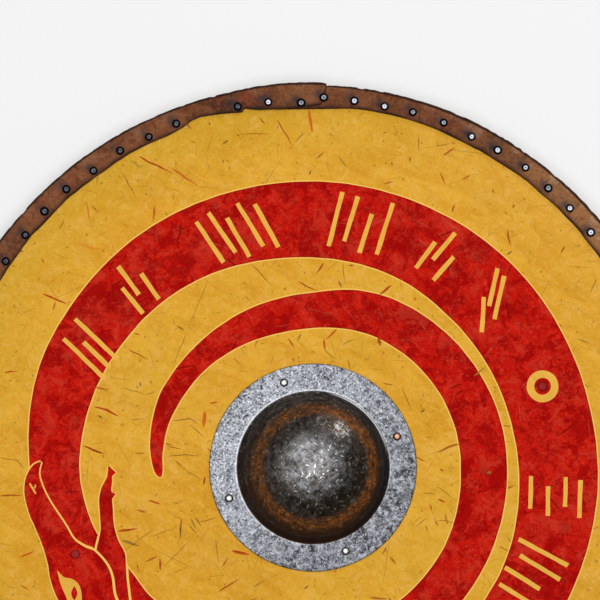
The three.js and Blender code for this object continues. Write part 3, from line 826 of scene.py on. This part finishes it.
# Nicks and scratches in the paint: how far from soot to orange, breadth, and the run of each
nicks = [
    (0.70, 2.0, (-167.8, 303.9), (-156.8, 297.7), (-133.5, 286.7)),
    (0.90, 1.8, (-135.9, 292.8), (-108.9, 274.4)), (0.45, 0.9, (-185, 290.4), (-169, 260.9)),
    (0.40, 1.1, (-67.2, 325.9), (-37.8, 326.2)), (0.75, 1.3, (-31.7, 340.7), (-15.7, 313.7)),
    (0.35, 1.6, (-140.8, 248.7), (-139, 245)), (0.05, 2.2, (-98.5, 337.5), (-97.4, 334.2)),
    (0.10, 2.0, (-84.9, 300.7), (-84.1, 297.2)), (0.20, 1.8, (-160.5, 267.7), (-159.3, 265.2)),
    (0.25, 1.6, (-155, 285), (-153.6, 283.2)), (0.15, 1.7, (-71.5, 325.9), (-68, 323.4)),
    (0.96, 3.4, (0.3, 350.3), (1.4, 340), (3.4, 327.5)), (0.72, 2.2, (-261.5, 168.7), (-236, 157.9)),
    (0.50, 1.5, (-262.5, 203), (-259.6, 198.1)), (0.85, 1.9, (-298.8, 91.2), (-285.1, 92.2)),
    (0.55, 1.3, (-177.4, 113.8), (-157.7, 103.9)), (0.60, 1.6, (-171.9, 129.5), (-165.5, 128.3)),
    (0.65, 1.4, (-210.5, 76.5), (-195.9, 74.5)),
    (0.76, 2.5, (-211, 57.4), (-198.3, 54.9), (-186.1, 48.3)),
    (0.25, 1.0, (-183.9, 76.6), (-168.6, 72.3), (-161, 69)), (0.25, 0.9, (-161, 69), (-150.1, 73.4)),
    (0.25, 1.1, (-175.2, 45), (-161, 45.6)), (0.12, 1.1, (-133.8, 44), (-117.4, 46.1), (-107.6, 40.7)),
    (0.95, 4.2, (-101.8, 53.8), (-103.4, 37.4)), (0.20, 1.1, (-117.4, 40.7), (-110, 35), (-102.2, 27.6)),
    (0.90, 2.2, (-97.8, 61.4), (-89, 62.5)), (0.40, 1.1, (-73.8, 106.1), (-67.2, 98.4)),
    (0.22, 0.8, (-98.3, 184.1), (-114.6, 144.9), (-120.6, 130.1)),
    (0.22, 0.9, (-120.6, 130.1), (-125, 119.2), (-133.8, 97.4)),
    (0.50, 1.4, (-141.4, 22.2), (-133.8, 19.9)), (0.72, 2.6, (-187.5, -64.6), (-168, -61)),
    (0.05, 1.9, (-125.1, -52), (-126.2, -71.5)), (0.60, 2.0, (-146.5, -90), (-145.5, -103)),
    (0.80, 2.0, (-157.6, -34), (-145.5, -37.8)), (0.74, 2.2, (-102.2, -10.5), (-103.4, -19)),
    (0.76, 3.0, (-76, -83), (-58.5, -87)), (0.68, 1.6, (-89.3, -123.5), (-68, -110.3)),
    (0.22, 0.9, (-153.9, -69.5), (-129.3, -59.7)), (0.20, 3.0, (-184, -73), (-166, -78.5)),
    (0.20, 0.9, (-180.1, -83.3), (-152.3, -61.2)), (0.35, 0.9, (-142.5, -98.9), (-116.3, -72.7)),
    (0.10, 1.0, (-139.2, 9), (-122, 11), (-106.5, 9.4)), (0.40, 1.3, (-140, 18.8), (-124.5, 16.4)),
    (0.10, 1.4, (-116, -51), (-110, -62)), (0.12, 1.3, (-112, -50), (-105, -60)),
    (0.15, 1.2, (-118, -58), (-109, -67)), (0.35, 1.3, (-106.5, -54.8), (-90.1, -50.6)),
    (0.20, 1.0, (-91.8, -72.7), (-88.5, -95.6)), (0.45, 1.6, (-85.2, -98.9), (-78.7, -89.1)),
    (0.62, 1.7, (-214.4, 16.8), (-202.2, 12)), (0.75, 1.5, (-168.6, -95.6), (-167, -101.4)),
    (0.40, 0.9, (-121.2, -4), (-104.8, -13.8)), (0.60, 1.7, (-302.8, -29.5), (-280.2, -28.6)),
    (0.40, 1.0, (-302.8, 7.8), (-283.1, 4.8)), (0.72, 2.0, (-221.3, 19.5), (-200.7, 11.7)),
    (0.45, 1.1, (107.8, 324.7), (108.6, 310)), (0.50, 2.1, (99.8, 303.9), (99.2, 299.2)),
    (0.45, 2.1, (81.2, 298.8), (82.2, 295.2)), (0.50, 1.6, (84.1, 328), (85.7, 324.7)),
    (0.35, 2.0, (92.2, 283.4), (94, 280.8)), (0.62, 2.1, (143.8, 257.7), (140.5, 249.5)),
    (0.30, 1.0, (124.1, 314.9), (133, 315.8), (142.1, 319.1)),
    (0.45, 1.8, (140.8, 318.2), (143.6, 316.6)), (0.55, 1.7, (181, 273.3), (181.8, 268.2)),
    (0.80, 2.0, (202.7, 257.7), (200.7, 254)), (0.55, 1.8, (196.1, 233.2), (196.5, 224), (198.5, 216)),
    (0.66, 2.0, (252.5, 216.8), (248.3, 209)), (0.40, 1.2, (-57.4, 199.6), (-45.9, 187.3), (-37, 176.7)),
    (0.70, 2.0, (14.5, 199.6), (11.3, 194.7), (7.2, 189)),
    (0.50, 1.5, (-11.6, 180.8), (-3.4, 176.7), (9.6, 171)), (0.74, 2.5, (81.2, 177.8), (69, 168.2)),
    (0.18, 0.9, (33.4, 200.4), (35, 177.5)), (0.22, 1.2, (-64, 167.7), (-57.4, 161.1)),
    (0.80, 1.7, (-23, 175.9), (-23.8, 171.8)), (0.52, 1.6, (-20.6, 126), (-14, 114.5)),
    (0.82, 2.2, (14.5, 125.2), (15.4, 113)), (0.76, 3.2, (68, 126), (70.4, 118)),
    (0.85, 1.8, (103.7, 166.1), (104.5, 162)), (0.50, 1.7, (-16.5, 105.6), (-14, 102.3)),
    (0.22, 1.2, (14.5, 113.7), (26, 104.7)), (0.45, 2.2, (148, 22), (137, 18.5), (126.6, 13.2)),
    (0.85, 3.0, (128.6, -3), (132.2, -5.2)), (0.76, 1.9, (126.6, -32.2), (134.5, -36.2)),
    (0.85, 1.7, (119, -37.6), (120.7, -43.8)), (0.50, 1.5, (124.1, -53.1), (126.6, -59.2)),
    (0.50, 1.4, (114.3, -58), (116.8, -64.1)), (0.25, 1.0, (124.1, -18.7), (143.8, -33.5)),
    (0.35, 1.0, (126.6, -53.1), (142.5, -55.5)), (0.15, 1.4, (162, 88.4), (173.6, 96.8)),
    (0.45, 1.2, (190.4, 40.1), (199, 38.9)), (0.45, 1.2, (186.7, -78.9), (196.5, -83.8)),
    (0.40, 1.4, (111.9, 72), (113.1, 67.1)), (0.35, 1.1, (91, 76.9), (96, 66), (102.1, 52.4)),
    (0.30, 1.2, (114.3, 27.9), (121.7, 29.1)), (0.10, 2.4, (174.4, -7.2), (179.6, -5.4)),
]
nickPlan = {"count": 175, "innermost": 108, "outermost": 343, "below": -125}  # more, scattered lower down


def makeNicks(band):
    bm = bmesh.new()
    random.seed(5)
    marks = list(nicks)
    while len(marks) < nickPlan["count"]:
        angle = random.uniform(-165, -12)
        radius = random.uniform(nickPlan["innermost"], nickPlan["outermost"])
        start = polar(angle, radius)
        end = start + polar(random.gauss(angle, 45), random.uniform(4, 22))
        if start.y < nickPlan["below"]:
            marks.append((random.choice((0.1, 0.25, 0.4, 0.5, 0.7, 0.8, 0.95)), random.uniform(0.9, 2.4),
                          tuple(start), tuple(end)))
    for tone, width, *path in marks:
        middle = (Vector(path[0]) + Vector(path[-1])) * (mm / 2)
        onBand = cover(band, [middle, Vector(path[0]) * mm, Vector(path[-1]) * mm])
        rise = layer["first"] + 1.4 * layer["step"] if onBand else 0.3 * layer["step"]
        if onBand > 0.5 and tone > 0.6:
            tone = 0.5
        addNick(bm, path, width, tone, rise)
    closeBelow(bm, layer["depth"])
    addPiece("paint_nicks", bm, ["nick"], crisp=40)


band = makeSerpent()
makeStrokes()
makeEye()
makeNicks(band)
print("paint laid on")


# Leather rim: one strip folded over the edge, its last stretch over its first
rim = {
    "start": 93.5, "end": -272.6, "overlap": 2.5 * mm, "liftFrom": -256.0, "liftTo": -266.0,
    "outer": 375 * mm, "thickness": 2.2 * mm, "front": 352.7 * mm, "back": 354 * mm,
    "corner": 4 * mm, "steps": 1100, "pressed": 0.65, "outOfRound": 1.1 * mm,
    "tuck": 0.7 * mm, "tuckFrom": 83, "tuckOver": 4,
    "bulge": 0.7 * mm, "nailDent": 0.5 * mm, "dentReach": 6 * mm, "stainReach": 5 * mm,
}
nailPlan = {
    "left": 91.3, "leftStep": 4.98, "leftRadius": 359.4 * mm,
    "right": 87.9, "rightStep": 4.82, "rightRadius": 361.8 * mm,
    "each": 37, "missing": 3, "headRadius": 4.4 * mm, "headHeight": 2.6 * mm,
}


def nailPlaces():
    random.seed(11)
    places = []
    for side, radius in (("left", nailPlan["leftRadius"]), ("right", nailPlan["rightRadius"])):
        turn = 1 if side == "left" else -1
        for i in range(nailPlan["each"]):
            angle = nailPlan[side] + turn * i * nailPlan[side + "Step"] + random.uniform(-0.2, 0.2)
            reach = radius + random.uniform(-1.3, 1.3) * mm
            if side == "left" and i == 0:
                reach -= 3 * mm
            if side == "left" and i == nailPlan["missing"]:
                continue
            places.append((angle, reach))
    return places


nails = nailPlaces()


def near(value, centre, width):  # a soft bump of height 1
    return math.exp(-((value - centre) / width) ** 2)


# where the strip's front edge wanders near its joint: degrees round, and radius
edgePlan = [
    (118, 352.9), (113, 352.2), (110.5, 354.0), (108.8, 357.6), (107.3, 358.6), (104.1, 356.2),
    (101.6, 353.6), (100.6, 353.2), (100.3, 356.6), (99, 354.2), (97.8, 352.7), (94.6, 350.9),
    (91.4, 350.4), (88, 351.0), (86, 351.9), (83.5, 353.4), (81, 354.2), (75, 354.6), (70, 354.2),
    (66, 352.9), (62, 352.6),
]
endPlan = [(94, 350.6), (91, 352.2), (89, 354.2), (86, 356.4)]  # the same for the end that lies on top


def planned(plan, angle):  # radius that a plan gives at this angle, or none outside it
    for (a, r), (b, s) in zip(plan, plan[1:]):
        if b <= angle <= a:
            return r + (s - r) * (a - angle) / (a - b)
    return None


def rimEdge(angle):  # radius of the strip's front edge at this angle along it
    around = (angle + 90) % 360 - 90
    place = polar(angle, 0.36)
    wander = rough(place.x, place.y, 26, 2.2) * 1.3 + rough(place.x, place.y, 80, 4.4) * 0.7
    plan = endPlan if angle < -266 else edgePlan
    given = planned(plan, around)
    if given is None:
        return rim["front"] + wander * mm
    return (given + wander * 0.25) * mm


def rimLift(angle):  # the last stretch climbs onto the first
    share = max(0.0, min(1.0, (angle - rim["liftFrom"]) / (rim["liftTo"] - rim["liftFrom"])))
    return rim["overlap"] * share * share * (3 - 2 * share)


def tucked(angle):  # 1 where the first stretch lies under the last, fading out beyond it
    return max(0.0, min(1.0, (angle - rim["tuckFrom"]) / rim["tuckOver"]))


leatherTop = boardTop + 0.3 * mm + rim["thickness"]
leatherBack = boardLow.z - 0.3 * mm - rim["thickness"]


def rimSection():
    thick, corner, outer = rim["thickness"], rim["corner"], rim["outer"]
    front, back = rim["front"], rim["back"]

    def bend(radius, middle, first):
        return [(outer - corner + radius * math.cos(math.radians(first + a)),
                 middle + radius * math.sin(math.radians(first + a))) for a in (0, 18, 36, 54, 72, 90)]

    frontLeg = [(r, leatherTop) for r in spread(outer - corner, front + 1.4 * mm, 10)[1:]]
    backLeg = [(r, leatherBack) for r in spread(back + 1.4 * mm, outer - corner, 6)[:-1]]
    inside = corner - thick
    return [
        (back, leatherBack + thick), (back, leatherBack + 0.8 * mm),
        (back + 0.4 * mm, leatherBack + 0.25 * mm),
        *backLeg, *bend(corner, leatherBack + corner, -90), *bend(corner, leatherTop - corner, 0),
        *frontLeg, (front + 0.4 * mm, leatherTop - 0.25 * mm), (front, leatherTop - 0.8 * mm),
        (front, leatherTop - thick), (outer - corner, leatherTop - thick),
        *reversed(bend(inside, leatherTop - corner, 0)[:-1]),
        *reversed(bend(inside, leatherBack + corner, -90)[1:]), (outer - corner, leatherBack + thick),
    ]


stainShift = Vector((-4.5, 3.0)) * mm  # the dark stain lies to one side of its nail


def stainOf(away, nailAngle):
    strength = 0.75 + 0.45 * rough(nailAngle, 0, 1.7, 2.9)
    return strength * near(away.length, 0, rim["stainReach"])


def makeRim():
    bm = bmesh.new()
    section = rimSection()
    start, end = rim["start"], rim["end"]
    spun(bm, section, rim["steps"], math.radians(end - start))
    bm.verts.ensure_lookup_table()
    stain = bm.verts.layers.float.new("stain")
    dark = bm.verts.layers.float.new("edge")
    span = rim["outer"] - rim["corner"] - rim["front"]
    for i, vert in enumerate(bm.verts):
        angle = start + (end - start) * (i // len(section)) / rim["steps"]
        radius, height = math.hypot(vert.co.x, vert.co.y), vert.co.z
        lift = rimLift(angle)
        inward = max(0.0, min(1.0, (rim["outer"] - rim["corner"] - radius) / span))
        isFront = height > boardTop and radius < rim["outer"] - 2.3 * mm
        isSkin = isFront and height > leatherTop - 1.5 * mm
        if isFront:
            radius += (rimEdge(angle) - rim["front"]) * inward
        if radius > rim["outer"] - 1 * mm:
            flat = polar(angle, 0.37)
            chipped = abs(rough(flat.x, flat.y, 110, 5.1)) * 0.8
            chipped += max(0, rough(flat.x, flat.y, 190, 2.5) - 0.2) * 2.2
            radius += (0.2 + max(-1.3, rough(flat.x, flat.y, 22, 8.8) * 0.6 - chipped)) * mm
            radius -= rim["tuck"] * tucked(angle)
            radius += rim["outOfRound"] * max(0.0, math.cos(math.radians(angle - 30)))
        place = polar(angle, radius)
        if isSkin:
            pressed = 0.0
            for nailAngle, reach in nails:
                if abs((nailAngle - angle + 180) % 360 - 180) < 4:
                    nail = polar(nailAngle, reach)
                    pressed += near((place - nail).length, 0, rim["dentReach"])
                    mark = nail + stainShift
                    vert[stain] = max(vert[stain], stainOf(place - mark, nailAngle))
            middle = math.sin(math.pi * max(0.0, min(1.0, (radius - rim["front"]) / (span + 3 * mm))))
            height += rim["bulge"] * middle * (1 - min(1, pressed)) - rim["nailDent"] * min(1, pressed)
            height += rough(place.x, place.y, 60, 6.6) * 0.35 * mm * middle
            fade = 0.85 + 0.4 * rough(place.x, place.y, 45, 1.1)
            # a dark cut edge along the inner side, widened into painted shadow where the strip meets the
            # board
            vert[dark] = min(1.0, near(inward, 1, 0.16) * fade)
        elif radius > rim["outer"] - 3 * mm:
            vert[dark] = 0.9
        else:
            vert[dark] = 0.6 if isFront else 0.0
        # the cut end is painted dark: its cut edge, and painted shadow under the end that lies on top
        if angle < end + 0.22:
            vert[dark] = 1.0
        if angle < rim["liftTo"]:  # the cut end slants
            angle += 0.7 * inward * near(angle, end, 0.6)
        if radius > rim["outer"] - rim["corner"] - 0.1 * mm:
            radius += lift * rim["pressed"]
        place = polar(angle, radius)
        vert.co = (place.x, place.y, height + (lift if height > (boardTop + boardLow.z) / 2 else -lift))
    for first in (True, False):
        edges = [e for e in bm.edges if e.is_boundary
                 and (e.verts[0].index < len(section)) == first]
        bmesh.ops.edgeloop_fill(bm, edges=edges)
    bmesh.ops.triangulate(bm, faces=[f for f in bm.faces if len(f.verts) > 4])
    bmesh.ops.recalc_face_normals(bm, faces=bm.faces)
    addPiece("leather_rim_strip", bm, ["leather"], ["leather_rim"])


def headHeightAt(angle):  # the leather's top where a nail stands
    around = (angle + 90) % 360 - 90
    onTop = rim["overlap"] if 87 < around < 95 else rimLift(around - 360) if around > 90 else 0
    return leatherTop + onTop - 0.3 * mm


def addHead(bm, place, low, radius, height, shape, sides, depth=0.6, seed=0.0, wearAndShine=1.0):
    # a round head on the axis at place: shape lists shares of its radius and height, and how bright each is,
    # as rubbed metal and painted highlight
    count = len(bm.verts)
    crown = bm.verts.layers.float.get("crown") or bm.verts.layers.float.new("crown")
    points = [(0, low - depth * mm), (radius * 0.9, low - depth * mm)]
    points += [(radius * r, low + height * z) for r, z, _ in shape]
    spun(bm, points, sides, closed=False)
    bm.verts.ensure_lookup_table()
    for vert in bm.verts[count:]:
        share = (vert.co.z - low) / height if height else 0
        if share > 0.02:
            vert.co.z += rough(vert.co.x + place.x * 7, vert.co.y + place.y * 7, 330, seed) * 0.12 * height
        reach = math.hypot(vert.co.x, vert.co.y) / radius
        shine = min(shape, key=lambda item: abs(item[0] - reach) + abs(item[1] - share) * 0.3)[2]
        vert[crown] = shine * wearAndShine if share > 0.02 else 0
        vert.co.x += place.x
        vert.co.y += place.y


makeRim()

roundHead = [(1.0, 0.10, 0), (0.94, 0.42, 0.2), (0.74, 0.78, 0.6), (0.40, 0.98, 1), (0.0, 1.0, 1)]
dimpledHead = [(1.0, 0.10, 0), (0.95, 0.45, 0), (0.72, 0.82, 0), (0.46, 0.97, 0.85), (0.22, 0.98, 0.95),
               (0.0, 0.80, 0)]
clenched = [(1.0, 0.15, 0), (0.8, 0.7, 0.5), (0.0, 1.0, 1)]


def makeRimNails():
    bm = bmesh.new()
    random.seed(23)
    for angle, reach in nails:
        radius = nailPlan["headRadius"] * random.uniform(0.93, 1.06)
        height = nailPlan["headHeight"] * random.uniform(0.85, 1.1)
        # painted shade: the heads down the left side are darker, those down the right brighter
        wearAndShine = random.uniform(0.44, 0.56) if 98 < angle % 360 < 262 else random.choice((0.64, 0.8, 1.0, 1.05))
        addHead(bm, polar(angle, reach), headHeightAt(angle), radius, height, dimpledHead, 12,
                seed=angle, wearAndShine=wearAndShine)
    weld(bm)
    addPiece("rim_nails", bm, ["rimNail"])
    bm = bmesh.new()  # their points, turned over behind
    for angle, reach in nails:
        lift = rimLift(angle - 360) if angle > 90 else 0
        addHead(bm, polar(angle + 0.3, reach), leatherBack - lift + 0.3 * mm, 1.7 * mm, -1.1 * mm,
                clenched, 7, depth=-0.6)
    weld(bm)
    addPiece("rim_nail_points", bm, ["rimNail"])


makeRimNails()
print("rim made")


# Boss: flat flange, short steep wall, and a half-round dome, one sheet of iron
boss = {
    "spokes": 176, "sheet": 2 * mm, "flangeRadius": 101.9 * mm, "foot": 73 * mm, "top": 69 * mm,
    "neck": 12 * mm, "height": 60 * mm, "fillet": 2 * mm, "hammered": 0.3 * mm,
}


def bossSide(inset):
    fillet = boss["fillet"] + inset
    foot = boss["sheet"] - inset
    points = []
    for a in (0, 20, 40, 60, 85):
        a = math.radians(a)
        points.append((boss["foot"] - inset + fillet * (1 - math.sin(a)), foot + fillet * (1 - math.cos(a))))
    for a in spread(0, 90, 36):
        a = math.radians(a)
        points.append(((boss["top"] - inset) * math.cos(a),
                       boss["neck"] + (boss["height"] - boss["neck"] - inset) * math.sin(a)))
    points[-1] = (0, points[-1][1])
    return points


def makeBoss():
    sheet, edge = boss["sheet"], boss["flangeRadius"]
    flange = [(r, sheet) for r in spread(edge - 0.8 * mm, boss["foot"] + 3 * mm, 14)]
    under = [(r, 0) for r in spread(boss["foot"] + 6 * mm, edge, 4)]
    rounded = [(edge, sheet - 0.7 * mm), (edge - 0.25 * mm, sheet - 0.2 * mm)]
    profile = [*reversed(bossSide(sheet)), *under, *rounded, *flange, *bossSide(0)]
    bm = bmesh.new()
    spun(bm, profile, boss["spokes"], closed=False)
    weld(bm)
    floor = bossLow.z
    for vert in bm.verts:
        x, y, z = vert.co
        radius = math.hypot(x, y)
        if z > 1 * mm or radius < boss["foot"] - 4 * mm:
            beat = rough(x, y, 45, 3.3 + z * 20) + 0.6 * rough(x, y, 110, 6.1 + z * 20)
            out = Vector((x, y, max(0, z - boss["neck"]) * 1.4)).normalized()
            if radius > boss["foot"] + 4 * mm:
                out = Vector((0, 0, 0.45))
            vert.co += out * beat * boss["hammered"]
        if radius > edge - 1 * mm:
            flat = Vector((x, y)).normalized() * (0.35 * mm * rough(x, y, 26, 9.9))
            vert.co.x += flat.x
            vert.co.y += flat.y
        vert.co.x += bossMiddle.x
        vert.co.y += bossMiddle.y
        vert.co.z += floor
    addPiece("boss_sheet", bm, ["boss"], ["iron_boss"])


makeBoss()

rivetHead = [(1.0, 0.10, 0), (0.97, 0.40, 0), (0.80, 0.78, 0.35), (0.45, 1.0, 0.9), (0.0, 1.03, 1)]
shank = [(1, 0, 0), (1, 1, 0), (0, 1, 0)]
fastener = {
    "rivetRadius": 4.1 * mm, "rivetHeight": 2.2 * mm, "rivetShank": 2.6 * mm,
    "rivetBackRadius": 5 * mm, "rivetBackHeight": 1.6 * mm,
    "nailRadius": 5.0 * mm, "nailHeight": 1.3 * mm, "nailShank": 1.8 * mm,
    "nailBackRadius": 4.2 * mm, "nailBackHeight": 1.4 * mm,
}


def middleOf(node):  # its middle, and the height of its lower end
    low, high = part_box(node)
    return (low + high) / 2, low.z


def makeFasteners():
    for i in (1, 2, 3, 4):
        middle, low = middleOf(f"boss_rivet_{i}")
        bm = bmesh.new()
        top = bossLow.z + boss["sheet"]
        addHead(bm, middle, top, fastener["rivetRadius"], fastener["rivetHeight"], rivetHead, 24, 0.3, i)
        backSeat = low + fastener["rivetBackHeight"]
        addHead(bm, middle, backSeat, fastener["rivetBackRadius"], low - backSeat, roundHead, 24, -0.3, i + 7)
        addHead(bm, middle, backSeat, fastener["rivetShank"], top - backSeat, shank, 12, 0.2)
        weld(bm)
        look = "copperRivet" if i == 1 else "rivet"
        addPiece(f"boss_rivet_head_{i}", bm, [look], [f"boss_rivet_{i}"])
    for i in (1, 2):
        middle, low = middleOf(f"grip_nail_{i}")
        bm = bmesh.new()
        top = boardTop - 0.3 * mm
        addHead(bm, middle, top, fastener["nailRadius"], fastener["nailHeight"], roundHead, 24, 0.3, i)
        backSeat = low + fastener["nailBackHeight"]
        addHead(bm, middle, backSeat, fastener["nailBackRadius"], low - backSeat, roundHead, 20, -0.3, i + 3)
        addHead(bm, middle, backSeat, fastener["nailShank"], top - backSeat, shank, 12, 0.2)
        weld(bm)
        for face in bm.faces:
            face.material_index = 1 if face.calc_center_median().z < boardLow.z else 0
        addPiece(f"grip_nail_head_{i}", bm, ["paintedNail", "rivet"], [f"grip_nail_{i}"])


makeFasteners()


# Grip: a bar with eight softened sides across the back, thinner and narrower towards its ends
grip = {
    "centre": Vector((0.65, -4.1)) * mm, "rows": 220, "sideParts": 5,
    "recessRadius": 6 * mm, "recessDepth": 3 * mm,
    # along from the middle, half width, height of the underside, and how far the corners are cut back
    "stations": [(0, 14.3, 0, 6.5), (50, 14, 0, 5.5), (66, 16.3, 0, 2.5), (90, 16.8, 0, 2.2),
                 (214, 15.8, 0, 2.2), (230, 15.3, 7, 2.2), (250, 14.3, 7, 2.2), (258, 11.5, 7, 2.2),
                 (262, 7, 7, 2.2)],
}


def gripSection(reach):  # outline of the bar at this distance along it
    stations = grip["stations"]
    for inner, outer in zip(stations, stations[1:]):
        if inner[0] <= abs(reach) <= outer[0]:
            share = (abs(reach) - inner[0]) / (outer[0] - inner[0])
            half, low, cut = [a + (b - a) * share for a, b in zip(inner[1:], outer[1:])]
            break
    top = gripTop / mm
    corners = [(cut - half, top), (-half, top - cut), (-half, low + cut), (cut - half, low),
               (half - cut, low), (half, low + cut), (half, top - cut), (half - cut, top)]
    outline = []
    for first, last in zip(corners, corners[1:] + corners[:1]):
        for part in range(grip["sideParts"]):
            share = part / grip["sideParts"]
            outline.append(tuple(a + (b - a) * share for a, b in zip(first, last)))
    return outline


def makeGrip():
    rows, around = grip["rows"], grip["sideParts"] * 8
    end = grip["stations"][-1][0]
    bm = bmesh.new()
    made = bmesh.ops.create_grid(bm, x_segments=rows, y_segments=around, size=1)["verts"]
    for vert in made:
        reach = vert.co.x * end
        across, height = gripSection(reach)[round((vert.co.y + 1) / 2 * around) % around]
        vert.co = (reach * mm, across * mm, height * mm)
    bmesh.ops.remove_doubles(bm, verts=bm.verts, dist=0.01 * mm)
    bmesh.ops.holes_fill(bm, edges=[e for e in bm.edges if e.is_boundary])
    bmesh.ops.recalc_face_normals(bm, faces=bm.faces)
    bmesh.ops.smooth_vert(bm, verts=bm.verts, factor=0.5, use_axis_y=True, use_axis_z=True)
    for vert in bm.verts:
        x, y, z = vert.co
        vert.co.y += rough(x, z, 22, 1.9) * 0.7 * mm
        if z < gripTop - 1 * mm:
            vert.co.z = max(0, z + rough(x, y, 30, 5.5) * 0.5 * mm)
    bmesh.ops.rotate(bm, verts=bm.verts, matrix=Matrix.Rotation(gripAngle, 3, "Z"))
    bmesh.ops.translate(bm, verts=bm.verts, vec=(*grip["centre"], 0))
    piece = addPiece("grip_bar", bm, ["grip"], ["wooden_grip"])
    for i in (1, 3):
        middle, _ = middleOf(f"boss_rivet_{i}")
        cut = bmesh.new()
        bmesh.ops.create_cone(cut, cap_ends=True, segments=28, radius1=grip["recessRadius"],
                              radius2=grip["recessRadius"], depth=2 * grip["recessDepth"])
        bmesh.ops.translate(cut, verts=cut.verts, vec=(middle.x, middle.y, 0))
        cutBack(piece, cut)
    piece.data.set_sharp_from_angle(angle=math.radians(40))


def cutBack(piece, bm):  # takes the shape in bm out of the piece
    tool = link("tool", meshOf("tool", bm))
    modifier = piece.modifiers.new("cut", "BOOLEAN")
    modifier.object = tool
    modifier.solver = "EXACT"
    graph = bpy.context.evaluated_depsgraph_get()
    cutMesh = bpy.data.meshes.new_from_object(piece.evaluated_get(graph))
    piece.modifiers.clear()
    piece.data = cutMesh
    bpy.data.objects.remove(tool)


makeGrip()
print("boss and grip made")


# Floor, light and camera
studio = {
    "target": Vector((-8.85 * mm, 162.8 * mm, boardTop)), "towards": Vector((-0.055, -0.045, 1)),
    "distance": 5.0, "acrossAtTarget": 588.9 * mm, "sensor": 36,
    "overheadAt": (-0.12, 0.15, 3.0), "overheadSize": 3.1, "overheadWatts": 90,
    "sideAzimuth": math.radians(56), "sideElevation": math.radians(26), "sideDistance": 2.4,
    "sideSize": 0.7, "sideWatts": 9, "skyStrength": 0.19,
    "floorHalf": 8, "floorGrey": (0.43, 0.43, 0.43, 1), "floorGlow": 0.445,
}


def makeFloor():
    bm = bmesh.new()
    bmesh.ops.create_grid(bm, x_segments=1, y_segments=1, size=studio["floorHalf"])
    mesh = meshOf("floor", bm)
    finish = Finish("floor_paper")
    mesh.materials.append(finish.surface({
        "Base Color": studio["floorGrey"], "Roughness": 0.9, "Specular IOR Level": 0.1,
        "Emission Color": (1, 1, 1, 1), "Emission Strength": studio["floorGlow"]}))
    floor = link("floor", mesh)


def addLight(name, place, target, size, watts):
    light = bpy.data.lights.new(name, "AREA")
    light.shape = "DISK"
    light.size = size
    light.energy = watts
    lamp = link(name, light)
    lamp.location = place
    lamp.rotation_euler = (Vector(place) - Vector(target)).to_track_quat("Z", "Y").to_euler()
    lamp.visible_camera = False


def makeStudio():
    scene = bpy.context.scene
    addLight("overhead", studio["overheadAt"], (0, 0, 0), studio["overheadSize"], studio["overheadWatts"])
    azimuth, elevation = studio["sideAzimuth"], studio["sideElevation"]
    way = Vector((math.cos(azimuth) * math.cos(elevation), math.sin(azimuth) * math.cos(elevation),
                  math.sin(elevation)))
    addLight("side_softbox", way * studio["sideDistance"], (0, 0, 0.05),
             studio["sideSize"], studio["sideWatts"])
    world = bpy.data.worlds.new("studio")
    world.use_nodes = True
    sky = world.node_tree.nodes["Background"].inputs
    sky["Color"].default_value = (1, 1, 1, 1)
    sky["Strength"].default_value = studio["skyStrength"]
    scene.world = world
    camera = bpy.data.cameras.new("camera")
    camera.sensor_width = studio["sensor"]
    camera.lens = studio["sensor"] * studio["distance"] / studio["acrossAtTarget"]
    camera.clip_end = 50
    viewer = link("camera", camera)
    back = studio["towards"].normalized()
    across = Vector((0, 1, 0)).cross(back).normalized()
    turn = Matrix((across, back.cross(across), back)).transposed().to_4x4()
    viewer.matrix_world = Matrix.Translation(studio["target"] + back * studio["distance"]) @ turn
    scene.camera = viewer
    scene.view_settings.view_transform = "Standard"


makeFloor()
makeStudio()
print("studio made")
